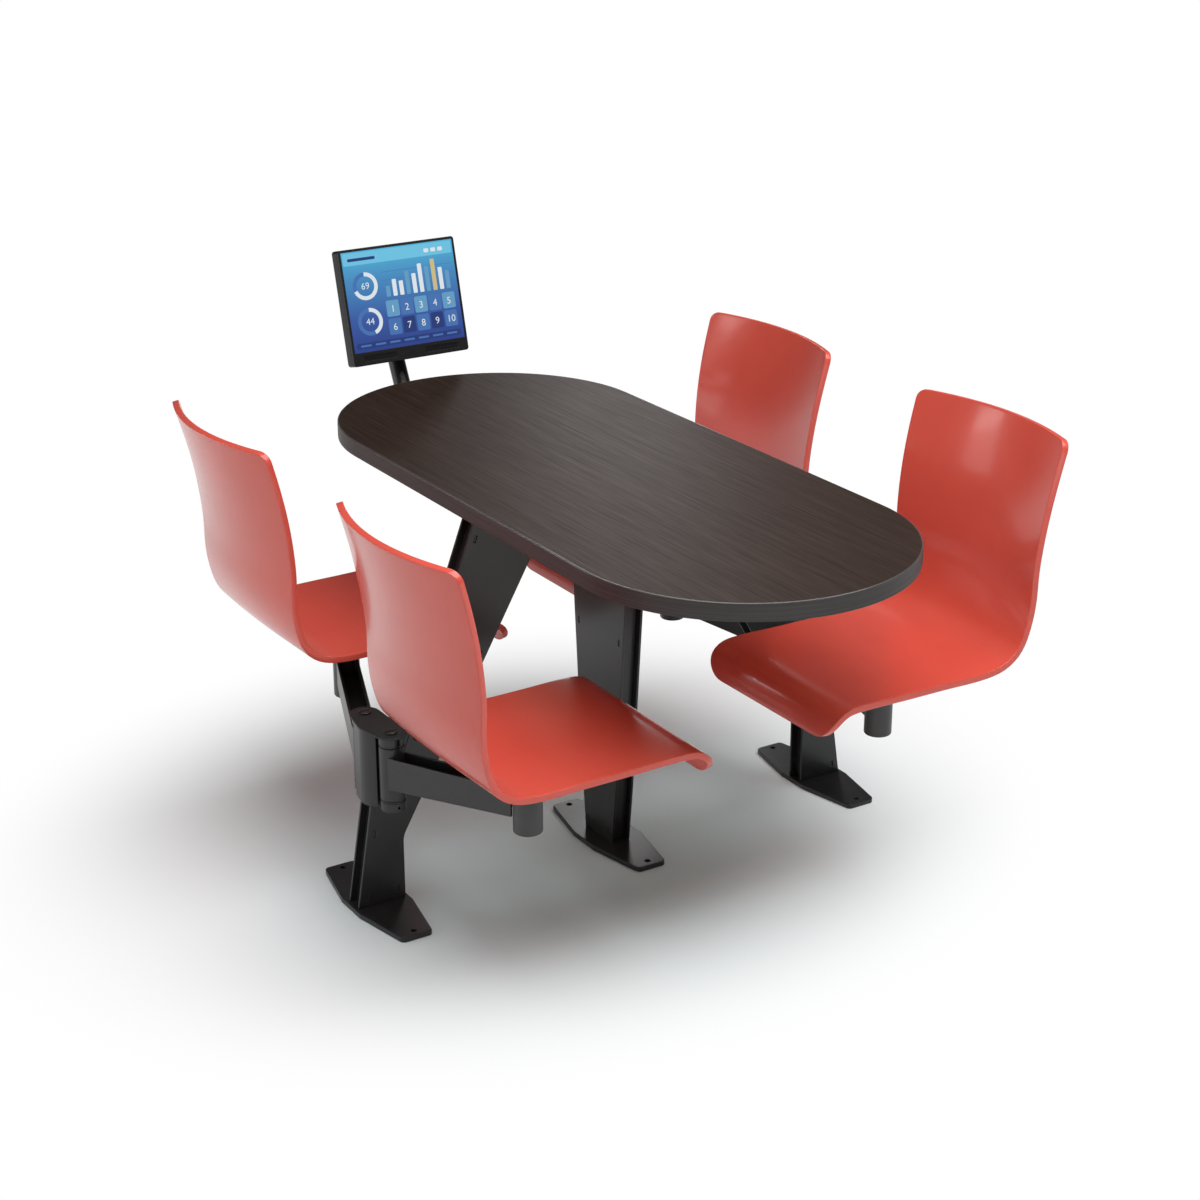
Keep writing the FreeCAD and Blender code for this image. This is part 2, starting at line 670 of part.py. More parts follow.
surfaces = []
for grid in shell_grids():
    surface = Part.BSplineSurface()
    surface.interpolate(grid)
    surfaces.append(surface)
faces = [surface.toShape() for surface in surfaces]
for sitting_rim, rear_rim in zip(rim_curves(surfaces[0]), rim_curves(surfaces[1])):
    faces.append(Part.makeRuledSurface(sitting_rim, rear_rim))
sewn = Part.makeShell(faces)
sewn.sewShape()
shell = Part.makeSolid(sewn)
if shell.Volume < 0:
    shell.reverse()
back_top = seat_height + side_edge[0][1]
lip_bottom = seat_height + side_edge[-1][1]
for sign in (-1, 1):
    shell = shell.cut(corner_waste(seat_x + sign * shell_back_half_width, back_top, shell_corner_radius,
                                   sign, 1, post_y, post_y + corner_cut_reach))
    shell = shell.cut(corner_waste(seat_x + sign * shell_half_width, lip_bottom, lip_corner_radius,
                                   sign, -1, post_y - corner_cut_reach,
                                   post_y + side_edge[-4][0] + lip_cut_clear))
for solid in [swivel] + seat_bolts:
    shell = shell.cut(solid)
for side_name, flip_side in (("left", True), ("right", False)):
    for end_name, flip_end in (("near", False), ("far", True)):
        place = "%s_%s" % (side_name, end_name)
        save("swing_arm_%s" % place, mirrored(arm, flip_end, flip_side))
        save("seat_post_%s" % place, mirrored(post, flip_end, flip_side))
        save("seat_swivel_%s" % place, mirrored(swivel, flip_end, flip_side))
        save("seat_bolts_%s" % place, [mirrored(bolt, flip_end, flip_side) for bolt in seat_bolts])
        save("seat_shell_%s" % place, mirrored(shell, flip_end, flip_side))

# Screen, drawn upright facing +X with its glass at the origin, then leaned back and moved into place
half_width = screen_width / 2 + bezel_side
low_z = -screen_height / 2 - bezel_bottom
high_z = screen_height / 2 + bezel_top
bezel_back = bezel_lip - bezel_depth
back_x = bezel_back - housing_depth
forward = Vector(1, 0, 0)


def glass_block(x_low, x_high, margin):
    half = screen_width / 2 + margin
    return block(x_low, x_high, -half, half, -screen_height / 2 - margin, screen_height / 2 + margin)


def case_block(x_low, x_high, inset):
    body = block(x_low, x_high, inset - half_width, half_width - inset, low_z + inset, high_z - inset)
    corners = [e for e in body.Edges if e.BoundBox.XLength > 0.01]
    return body.makeFillet(screen_corner - inset, corners)


def edges_at_x(shape, x):
    return [e for e in shape.Edges if e.BoundBox.XLength < 0.01 and abs(e.BoundBox.XMin - x) < 0.01]


def leaned(shape):
    return shape.rotated(origin, Vector(0, 1, 0), -screen_tilt).translated(screen_centre)


bezel = case_block(bezel_back, bezel_lip, 0)
bezel = bezel.makeFillet(bezel_round, edges_at_x(bezel, bezel_lip))
bezel = bezel.cut(glass_block(bezel_back, bezel_lip, 0)).cut(glass_block(bezel_back, 0, rebate))
for side in (-1, 1):
    grille_y = side * screen_width * 0.28
    grille_z = low_z + bezel_bottom / 2
    grille = block(bezel_lip - grille_depth, bezel_lip, grille_y - grille_half_length,
                   grille_y + grille_half_length, grille_z - grille_height / 2, grille_z + grille_height / 2)
    bezel = bezel.cut(grille)
panel = glass_block(-panel_thickness, 0, rebate)
housing = case_block(back_x, bezel_back, 0)
housing = housing.makeChamfer(housing_chamfer, edges_at_x(housing, back_x))
boss = block(back_x, back_x + boss_depth, -boss_half, boss_half,
             -bracket_drop - boss_half, -bracket_drop + boss_half)
housing = housing.cut(case_block(back_x + housing_wall, bezel_back, housing_wall).cut(boss))
half_bracket = bracket_size / 2
bracket = block(back_x - bracket_thickness, back_x, -half_bracket, half_bracket,
                -bracket_drop - half_bracket, -bracket_drop + half_bracket)
bracket = bracket.makeFillet(bracket_corner, [e for e in bracket.Edges if e.BoundBox.XLength > 0.01])
screen_screws = []
half_spacing = bracket_hole_spacing / 2
for y, z, _ in rectangle(0, -bracket_drop, half_spacing, half_spacing, 0):
    seat_point = Vector(back_x - bracket_thickness, y, z)
    head_point = seat_point - forward * bracket_screw_head
    shank_length = bracket_thickness + bracket_screw_bite
    shank = Part.makeCylinder(bracket_screw_radius, shank_length, seat_point, forward)
    head = Part.makeCylinder(2 * bracket_screw_radius, bracket_screw_head, head_point, forward)
    bracket = bracket.cut(shank)
    housing = housing.cut(shank)
    screen_screws.append(leaned(head.fuse(shank).removeSplitter()))
bracket = leaned(bracket)

# Bent tube from a saddle under the table to the back of the screen
turn = math.radians(tube_turn)
bend_start = Vector(tube_bend_x, 0, tube_run_height)
bend_centre = bend_start + up * tube_bend_radius


def on_bend(angle):
    return bend_centre + Vector(-math.sin(angle), 0, -math.cos(angle)) * tube_bend_radius


bend_end = on_bend(turn)
rise_way = Vector(-math.cos(turn), 0, math.sin(turn))
tube_end = bend_end + rise_way * tube_straight


def tube_sweep(radius, end_point):
    start = Vector(tube_start_x, 0, tube_run_height)
    path = Part.Wire([Part.makeLine(start, bend_start),
                      Part.Arc(bend_start, on_bend(turn / 2), bend_end).toShape(),
                      Part.makeLine(bend_end, end_point)])
    ring = Part.Wire([Part.makeCircle(radius, start, forward)])
    return path.makePipeShell([ring], True, True)


tube_outer = tube_sweep(tube_radius, tube_end)
tube = tube_outer.cut(tube_sweep(tube_radius - tube_wall, tube_end - rise_way * tube_wall))
lean_turn = math.radians(screen_tilt)
face_way = Vector(math.cos(lean_turn), 0, math.sin(lean_turn))
up_way = Vector(-math.sin(lean_turn), 0, math.cos(lean_turn))
neck_root = screen_centre + face_way * (back_x - bracket_thickness) - up_way * bracket_drop
neck_corners = [neck_root - up_way * 38, neck_root + up_way * 5,
                tube_end - rise_way * 14, tube_end - rise_way * 62]
neck_face = Part.Face(Part.makePolygon(neck_corners + neck_corners[:1]))
neck = neck_face.extrude(Vector(0, 2 * neck_half_width, 0))
bracket = bracket.fuse(neck.translate(Vector(0, -neck_half_width, 0))).cut(tube_outer).removeSplitter()
saddle = block(saddle_x - saddle_length / 2, saddle_x + saddle_length / 2,
               -saddle_half_width, saddle_half_width, tube_run_height, leg_top)
saddle = saddle.fuse(flanges["screen_tube_saddle"]).cut(tube_outer).removeSplitter()
save("screen_bezel", leaned(bezel))
save("screen_panel", leaned(panel))
save("screen_housing", leaned(housing))
save("screen_bracket", bracket)
save("screen_screws", screen_screws)
save("screen_tube", tube)
save("screen_tube_saddle", saddle)
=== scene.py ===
import json
import math

import bmesh
import bpy
import numpy as np
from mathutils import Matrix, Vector

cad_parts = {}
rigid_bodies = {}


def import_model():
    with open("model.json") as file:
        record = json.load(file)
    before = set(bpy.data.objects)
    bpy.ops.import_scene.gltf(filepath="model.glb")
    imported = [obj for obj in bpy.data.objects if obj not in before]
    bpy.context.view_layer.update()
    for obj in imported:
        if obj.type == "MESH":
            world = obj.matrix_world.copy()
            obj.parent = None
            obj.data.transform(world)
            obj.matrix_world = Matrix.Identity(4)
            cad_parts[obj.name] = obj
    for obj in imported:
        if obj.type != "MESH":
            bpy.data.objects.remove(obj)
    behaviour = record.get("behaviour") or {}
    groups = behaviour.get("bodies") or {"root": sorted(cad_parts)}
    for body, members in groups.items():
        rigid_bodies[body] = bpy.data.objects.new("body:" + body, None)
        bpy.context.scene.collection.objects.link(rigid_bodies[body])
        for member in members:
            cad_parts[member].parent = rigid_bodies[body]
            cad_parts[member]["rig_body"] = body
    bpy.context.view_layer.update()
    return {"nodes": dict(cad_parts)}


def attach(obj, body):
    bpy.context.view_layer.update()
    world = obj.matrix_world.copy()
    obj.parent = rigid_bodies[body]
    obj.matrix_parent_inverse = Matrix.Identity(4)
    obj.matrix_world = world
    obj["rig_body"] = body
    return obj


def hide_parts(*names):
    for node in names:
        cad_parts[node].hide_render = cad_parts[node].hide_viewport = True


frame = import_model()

scene = bpy.context.scene
scene.view_settings.view_transform = "Standard"
nodes = frame["nodes"]
mm = 0.001
sides = ("left", "right")
# the four seats' places, with the signs of y and x there
places = [(side + "_" + end, sy, sx) for side, sy in zip(sides, (-1, 1))
          for end, sx in (("near", 1), ("far", -1))]
colourA, colourB, colourOut = 6, 7, 2  # a mix node's colour sockets


def hexColour(text):
    values = [int(text[i:i + 2], 16) / 255 for i in (1, 3, 5)]
    linear = [v / 12.92 if v <= 0.04045 else ((v + 0.055) / 1.055) ** 2.4 for v in values]
    return tuple(linear) + (1.0,)


def addNode(tree, kind, settings=None, inputs=None):
    node = tree.nodes.new(kind)
    for name, value in (settings or {}).items():
        setattr(node, name, value)
    for name, value in (inputs or {}).items():
        if isinstance(value, bpy.types.NodeSocket):
            tree.links.new(value, node.inputs[name])
        else:
            node.inputs[name].default_value = value
    return node


# each material starts with its shader, and with object coordinates in metres
def startMaterial(name, **shader):
    material = bpy.data.materials.new(name)
    material.use_nodes = True
    tree = material.node_tree
    bsdf = tree.nodes["Principled BSDF"]
    for key, value in shader.items():
        bsdf.inputs[key.replace("_", " ")].default_value = value
    coords = addNode(tree, "ShaderNodeTexCoord").outputs["Object"]
    return material, tree, bsdf, coords


def setRamp(ramp, stops):
    elements = ramp.color_ramp.elements
    while len(elements) < len(stops):
        elements.new(0.5)
    for element, (position, colour) in zip(elements, stops):
        element.position = position
        element.color = hexColour(colour)


# a pattern's scale, from the size of its features in mm
def patternScale(size):
    return 1 / (size * mm)


# Materials

noiseLow, noiseHigh = 0.35, 0.65  # most of a noise lies between these


# injection moulded polypropylene: even bright colour, a soft gloss, and a faint spark-eroded skin
def mouldedPolypropylene():
    finish = {"low": "#da5445", "high": "#df5849", "patchMm": 180, "gloss": (0.23, 0.27),
              "skinMm": 1.6, "skinDepthMm": 0.4, "skinStrength": 0.05}
    material, tree, bsdf, coords = startMaterial(
        "moulded polypropylene", IOR=1.49, Specular_IOR_Level=0.42,
        Coat_Weight=0.3, Coat_Roughness=0.1)
    patches = addNode(tree, "ShaderNodeTexNoise", inputs={
        "Vector": coords, "Scale": patternScale(finish["patchMm"]), "Detail": 3.0})
    tint = addNode(tree, "ShaderNodeValToRGB", inputs={"Fac": patches.outputs["Fac"]})
    setRamp(tint, [(noiseLow, finish["low"]), (noiseHigh, finish["high"])])
    tree.links.new(tint.outputs["Color"], bsdf.inputs["Base Color"])
    gloss = addNode(tree, "ShaderNodeMapRange", inputs={
        "Value": patches.outputs["Fac"],
        "To Min": finish["gloss"][0], "To Max": finish["gloss"][1]})
    tree.links.new(gloss.outputs["Result"], bsdf.inputs["Roughness"])
    # the real skin is about 0.2 mm, drawn at 1.6 mm so that it shows
    skin = addNode(tree, "ShaderNodeTexNoise", inputs={
        "Vector": coords, "Scale": patternScale(finish["skinMm"]), "Detail": 1.0})
    bump = addNode(tree, "ShaderNodeBump", inputs={
        "Height": skin.outputs["Fac"], "Strength": finish["skinStrength"],
        "Distance": finish["skinDepthMm"] * mm})
    tree.links.new(bump.outputs["Normal"], bsdf.inputs["Normal"])
    return material


# printed wenge laminate, pressed against a matt plate: fine dark pores along the grain,
# and broader bands of tone
def pressedWengeLaminate():
    finish = {"dark": "#211711", "mid": "#30241f", "light": "#3f312b", "stops": (0.36, 0.5, 0.66),
              "poreMm": 1.2, "poreLengthMm": 140, "poreDepthMm": 0.3, "poreStrength": 0.12,
              "bandMm": 9, "bandLengthMm": 700, "bandShare": 0.12, "gloss": (0.5, 0.42)}
    material, tree, bsdf, coords = startMaterial(
        "pressed wenge laminate", IOR=1.5, Specular_IOR_Level=0.1)
    # the real pores are about 0.4 mm wide, drawn at 1.2 mm so that they show
    fine, broad = [addNode(tree, "ShaderNodeMapping", inputs={
        "Vector": coords, "Scale": (patternScale(finish[mark + "LengthMm"]),
                                    patternScale(finish[mark + "Mm"]), 1.0)})
        for mark in ("pore", "band")]
    pores = addNode(tree, "ShaderNodeTexNoise", inputs={
        "Vector": fine.outputs["Vector"], "Scale": 1.0, "Detail": 4.0, "Roughness": 0.65})
    bands = addNode(tree, "ShaderNodeTexNoise", inputs={
        "Vector": broad.outputs["Vector"], "Scale": 1.0, "Detail": 2.0})
    grain = addNode(tree, "ShaderNodeMix", {"data_type": "FLOAT"}, {
        "Factor": finish["bandShare"], "A": pores.outputs["Fac"], "B": bands.outputs["Fac"]})
    tint = addNode(tree, "ShaderNodeValToRGB", inputs={"Fac": grain.outputs["Result"]})
    setRamp(tint, list(zip(finish["stops"], (finish["dark"], finish["mid"], finish["light"]))))
    tree.links.new(tint.outputs["Color"], bsdf.inputs["Base Color"])
    gloss = addNode(tree, "ShaderNodeMapRange", inputs={
        "Value": grain.outputs["Result"], "From Min": noiseLow, "From Max": noiseHigh,
        "To Min": finish["gloss"][0], "To Max": finish["gloss"][1]})
    tree.links.new(gloss.outputs["Result"], bsdf.inputs["Roughness"])
    bump = addNode(tree, "ShaderNodeBump", inputs={
        "Height": pores.outputs["Fac"], "Strength": finish["poreStrength"],
        "Distance": finish["poreDepthMm"] * mm})
    tree.links.new(bump.outputs["Normal"], bsdf.inputs["Normal"])
    return material


# extruded PVC edging: satin, with faint draw lines round the table,
# and glossier on its rounded upper edge, which is buffed after trimming
def extrudedEdging():
    finish = {"dark": "#423f3e", "light": "#4c4948", "lineMm": 3.0, "lineLengthMm": 250,
              "lineDepthMm": 0.2, "lineStrength": 0.04, "buffed": (0.05, 0.3)}
    material, tree, bsdf, coords = startMaterial(
        "extruded PVC edging", Roughness=0.5, IOR=1.53, Specular_IOR_Level=0.18, Coat_Roughness=0.2)
    lineRun = patternScale(finish["lineLengthMm"])
    lines = addNode(tree, "ShaderNodeMapping", inputs={
        "Vector": coords, "Scale": (lineRun, lineRun, patternScale(finish["lineMm"]))})
    draw = addNode(tree, "ShaderNodeTexNoise", inputs={
        "Vector": lines.outputs["Vector"], "Scale": 1.0, "Detail": 2.0})
    tint = addNode(tree, "ShaderNodeValToRGB", inputs={"Fac": draw.outputs["Fac"]})
    setRamp(tint, [(noiseLow, finish["dark"]), (noiseHigh, finish["light"])])
    tree.links.new(tint.outputs["Color"], bsdf.inputs["Base Color"])
    normal = addNode(tree, "ShaderNodeNewGeometry").outputs["Normal"]
    facing = addNode(tree, "ShaderNodeSeparateXYZ", inputs={"Vector": normal})
    buffed = addNode(tree, "ShaderNodeMapRange", inputs={
        "Value": facing.outputs["Z"],
        "From Min": finish["buffed"][0], "From Max": finish["buffed"][1]})
    tree.links.new(buffed.outputs["Result"], bsdf.inputs["Coat Weight"])
    bump = addNode(tree, "ShaderNodeBump", inputs={
        "Height": draw.outputs["Fac"], "Strength": finish["lineStrength"],
        "Distance": finish["lineDepthMm"] * mm})
    tree.links.new(bump.outputs["Normal"], bsdf.inputs["Normal"])
    return material


# raw particle board: pale chips pressed together, matt
def pressedChipboard():
    finish = {"dark": "#8d7350", "light": "#c8ae86", "stops": (0.2, 0.8),
              "chipMm": 4, "chipDepthMm": 0.6, "chipStrength": 0.3}
    material, tree, bsdf, coords = startMaterial("pressed chipboard", Roughness=0.85, IOR=1.5)
    chips = addNode(tree, "ShaderNodeTexVoronoi", inputs={
        "Vector": coords, "Scale": patternScale(finish["chipMm"])})
    tint = addNode(tree, "ShaderNodeValToRGB", inputs={"Fac": chips.outputs["Color"]})
    setRamp(tint, list(zip(finish["stops"], (finish["dark"], finish["light"]))))
    tree.links.new(tint.outputs["Color"], bsdf.inputs["Base Color"])
    bump = addNode(tree, "ShaderNodeBump", inputs={
        "Height": chips.outputs["Distance"], "Strength": finish["chipStrength"],
        "Distance": finish["chipDepthMm"] * mm})
    tree.links.new(bump.outputs["Normal"], bsdf.inputs["Normal"])
    return material


# polyester powder baked on steel: satin, with the slight orange peel that it leaves when it melts
def bakedPowderCoat(name, low, high, roughness):
    finish = {"patchMm": 45, "glossSpread": 0.02,
              "peelMm": 3.5, "peelDepthMm": 0.5, "peelStrength": 0.025}
    material, tree, bsdf, coords = startMaterial(name, IOR=1.5)
    patches = addNode(tree, "ShaderNodeTexNoise", inputs={
        "Vector": coords, "Scale": patternScale(finish["patchMm"]), "Detail": 3.0})
    tint = addNode(tree, "ShaderNodeValToRGB", inputs={"Fac": patches.outputs["Fac"]})
    setRamp(tint, [(noiseLow, low), (noiseHigh, high)])
    tree.links.new(tint.outputs["Color"], bsdf.inputs["Base Color"])
    gloss = addNode(tree, "ShaderNodeMapRange", inputs={
        "Value": patches.outputs["Fac"], "To Min": roughness - finish["glossSpread"],
        "To Max": roughness + finish["glossSpread"]})
    tree.links.new(gloss.outputs["Result"], bsdf.inputs["Roughness"])
    # the real peel is about 1 mm, drawn at 3.5 mm so that it shows
    peel = addNode(tree, "ShaderNodeTexNoise", inputs={
        "Vector": coords, "Scale": patternScale(finish["peelMm"]), "Detail": 1.5})
    bump = addNode(tree, "ShaderNodeBump", inputs={
        "Height": peel.outputs["Fac"], "Strength": finish["peelStrength"],
        "Distance": finish["peelDepthMm"] * mm})
    tree.links.new(bump.outputs["Normal"], bsdf.inputs["Normal"])
    return material


# zinc plated steel: bluish bright metal, cloudy from the bath
def platedZinc():
    finish = {"low": "#9a9da0", "high": "#bfc1c2", "stops": (0.3, 0.7), "cloudMm": 6,
              "gloss": (0.25, 0.42)}
    material, tree, bsdf, coords = startMaterial("zinc plated steel", Metallic=1.0)
    clouds = addNode(tree, "ShaderNodeTexNoise", inputs={
        "Vector": coords, "Scale": patternScale(finish["cloudMm"]), "Detail": 4.0})
    tint = addNode(tree, "ShaderNodeValToRGB", inputs={"Fac": clouds.outputs["Fac"]})
    setRamp(tint, list(zip(finish["stops"], (finish["low"], finish["high"]))))
    tree.links.new(tint.outputs["Color"], bsdf.inputs["Base Color"])
    gloss = addNode(tree, "ShaderNodeMapRange", inputs={
        "Value": clouds.outputs["Fac"],
        "To Min": finish["gloss"][0], "To Max": finish["gloss"][1]})
    tree.links.new(gloss.outputs["Result"], bsdf.inputs["Roughness"])
    return material


# turned acetal: dark and waxy, with a fine mottle
def turnedAcetal():
    finish = {"low": "#161616", "high": "#222222", "mottleMm": 1.5}
    material, tree, bsdf, coords = startMaterial("turned acetal", Roughness=0.42, IOR=1.48)
    mottle = addNode(tree, "ShaderNodeTexNoise", inputs={
        "Vector": coords, "Scale": patternScale(finish["mottleMm"]), "Detail": 2.0})
    tint = addNode(tree, "ShaderNodeValToRGB", inputs={"Fac": mottle.outputs["Fac"]})
    setRamp(tint, [(noiseLow, finish["low"]), (noiseHigh, finish["high"])])
    tree.links.new(tint.outputs["Color"], bsdf.inputs["Base Color"])
    return material


# moulded ABS case: near black, fine even grain from an etched mould
def etchedAbs(name, low, high, roughness):
    finish = {"grainMm": 1.2, "grainDepthMm": 0.2, "grainStrength": 0.05}
    material, tree, bsdf, coords = startMaterial(
        name, Roughness=roughness, IOR=1.54, Specular_IOR_Level=0.22)
    # the real grain is about 0.15 mm, drawn at 1.2 mm so that it shows
    grain = addNode(tree, "ShaderNodeTexNoise", inputs={
        "Vector": coords, "Scale": patternScale(finish["grainMm"]), "Detail": 2.0})
    tint = addNode(tree, "ShaderNodeValToRGB", inputs={"Fac": grain.outputs["Fac"]})
    setRamp(tint, [(noiseLow, low), (noiseHigh, high)])
    tree.links.new(tint.outputs["Color"], bsdf.inputs["Base Color"])
    bump = addNode(tree, "ShaderNodeBump", inputs={
        "Height": grain.outputs["Fac"], "Strength": finish["grainStrength"],
        "Distance": finish["grainDepthMm"] * mm})
    tree.links.new(bump.outputs["Normal"], bsdf.inputs["Normal"])
    return material


# back-lit display under smooth glass: light blue at the top to deep blue, with an even glow
def litDisplay():
    finish = {"glass": "#0d1116", "lowMm": 790, "highMm": 1000,
              "tints": [(0.0, "#2f3f86"), (0.35, "#3d5ca3"), (0.7, "#4a8cc0"), (1.0, "#56b8de")]}
    material, tree, bsdf, coords = startMaterial(
        "lit display glass", Base_Color=hexColour(finish["glass"]), Roughness=0.12, IOR=1.52,
        Emission_Strength=0.95)
    height = addNode(tree, "ShaderNodeSeparateXYZ", inputs={"Vector": coords})
    share = addNode(tree, "ShaderNodeMapRange", inputs={
        "Value": height.outputs["Z"],
        "From Min": finish["lowMm"] * mm, "From Max": finish["highMm"] * mm})
    tint = addNode(tree, "ShaderNodeValToRGB", inputs={"Fac": share.outputs["Result"]})
    setRamp(tint, finish["tints"])
    tree.links.new(tint.outputs["Color"], bsdf.inputs["Emission Color"])
    return material


# lit picture elements of the display, each an even tint with the display's fine cell pattern
def litTint(name, colour, strength):
    finish = {"glass": "#101418", "cellMm": 1.0, "cellFade": (1.0, 0.93)}
    material, tree, bsdf, coords = startMaterial(
        name, Base_Color=hexColour(finish["glass"]), Roughness=0.12, IOR=1.52,
        Emission_Strength=strength)
    # the real cells are about 0.3 mm, drawn at 1 mm so that they show
    cells = addNode(tree, "ShaderNodeTexVoronoi", inputs={
        "Vector": coords, "Scale": patternScale(finish["cellMm"])})
    fade = addNode(tree, "ShaderNodeMapRange", inputs={
        "Value": cells.outputs["Distance"],
        "To Min": finish["cellFade"][0], "To Max": finish["cellFade"][1]})
    tint = addNode(tree, "ShaderNodeMix", {"data_type": "RGBA", "blend_type": "MULTIPLY"}, {
        "Factor": 1.0, colourA: hexColour(colour), colourB: fade.outputs["Result"]})
    tree.links.new(tint.outputs[colourOut], bsdf.inputs["Emission Color"])
    return material


seatPlastic = mouldedPolypropylene()
topLaminate = pressedWengeLaminate()
edging = extrudedEdging()
chipboard = pressedChipboard()
blackCoat = bakedPowderCoat("black powder coat on steel", "#1f1f1f", "#242424", 0.33)
# rougher and darker than the black coat: the darker colour is painted shade on the hinges'
# upward-facing top plates
shadedDullCoat = bakedPowderCoat("dull black powder coat on steel, darkened as painted shade", "#191919", "#1e1e1e", 0.58)
greyCoat = bakedPowderCoat("grey powder coat on steel", "#363636", "#3f3f3f", 0.4)
zinc = platedZinc()
acetal = turnedAcetal()
caseAbs = etchedAbs("etched ABS case", "#191a1b", "#1e1f20", 0.46)
grilleAbs = etchedAbs("moulded ABS grille", "#0a0a0a", "#0f0f0f", 0.7)
display = litDisplay()
print("materials made")

finishes = {"laminate": topLaminate, "core_board": chipboard, "edge_band": edging,
            "black_powder_coat": blackCoat, "grey_powder_coat": greyCoat, "bearing_plastic": acetal,
            "zinc_steel": zinc, "seat_shell": seatPlastic, "screen_case": caseAbs,
            "screen_face": display}
for cadNode in nodes.values():
    for holder in cadNode.material_slots:
        holder.material = finishes[holder.material.name.split(".")[0]]
for side in sides:  # the hinges' top plates have a coarser, duller coat, and a darker colour as painted shade on these upward-facing plates
    nodes[side + "_hinge_plate"].material_slots[0].material = shadedDullCoat
print("CAD nodes dressed:", len(nodes))


def addPiece(name, mesh, body, material, replaced=()):
    piece = bpy.data.objects.new(name, mesh)
    scene.collection.objects.link(piece)
    if material:
        mesh.materials.append(material)
    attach(piece, body)
    if replaced:
        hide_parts(*replaced)
    return piece


def finishMesh(bm, name):
    mesh = bpy.data.meshes.new(name)
    bm.to_mesh(mesh)
    bm.free()
    return mesh


# Seat shells: the CAD sheet again on an even grid, with its edges rounded as they leave the mould

# lengths in mm; the grid's cells across and along, and how many of them each corner takes
seatShell = {"middleX": 338.8, "postY": 374.0, "seatHeight": 427.0, "thickness": 12.0,
             "edgeRound": 1.3, "edgeTurns": (22.5, 45, 67.5, 90),
             "halfWidth": 188.0, "backHalfWidth": 198.5, "topCorner": 18.0, "lipCorner": 50.0,
             "hollow": 41.0, "hollowStart": 15.0, "hollowPower": 0.55,
             "across": 32, "along": 84, "topArc": 6, "lipArc": 12,
             "lineSteps": 2400, "slopeStep": 0.5, "topStretch": 60, "lipStretch": 90,
             "sideEdge": [(224.0, 409.0), (211.5, 363.0), (199.5, 313.0), (190.0, 263.0),
                          (183.5, 213.0), (180.5, 163.0), (181.0, 121.0), (173.5, 65.0),
                          (153.5, 22.0), (134.5, 8.5), (94.0, -0.5), (16.0, -0.6),
                          (-104.0, 0.7), (-192.0, 1.6), (-224.0, -3.4), (-246.5, -21.5),
                          (-256.0, -44.0), (-258.5, -55.5)]}


def runningLength(points):
    return np.concatenate([[0], np.cumsum(np.linalg.norm(np.diff(points, axis=0), axis=1))])


# a smooth line through points, as many small steps, with its running length
def smoothLine(points, steps):
    points = np.array(points)
    t = runningLength(points)
    h = np.diff(t)
    n = len(t)
    rows = np.eye(n)
    right = np.zeros((n, 2))
    for i in range(1, n - 1):
        rows[i, i - 1:i + 2] = h[i - 1], 2 * (h[i - 1] + h[i]), h[i]
        right[i] = 6 * ((points[i + 1] - points[i]) / h[i] - (points[i] - points[i - 1]) / h[i - 1])
    bends = np.linalg.solve(rows, right)
    s = np.linspace(0, t[-1], steps)
    k = np.clip(np.searchsorted(t, s) - 1, 0, n - 2)
    a = ((t[k + 1] - s) / h[k])[:, None]
    b = 1 - a
    bow = (a ** 3 - a) * bends[k] + (b ** 3 - b) * bends[k + 1]
    line = a * points[k] + b * points[k + 1] + bow * (h[k] ** 2)[:, None] / 6
    return line, runningLength(line)


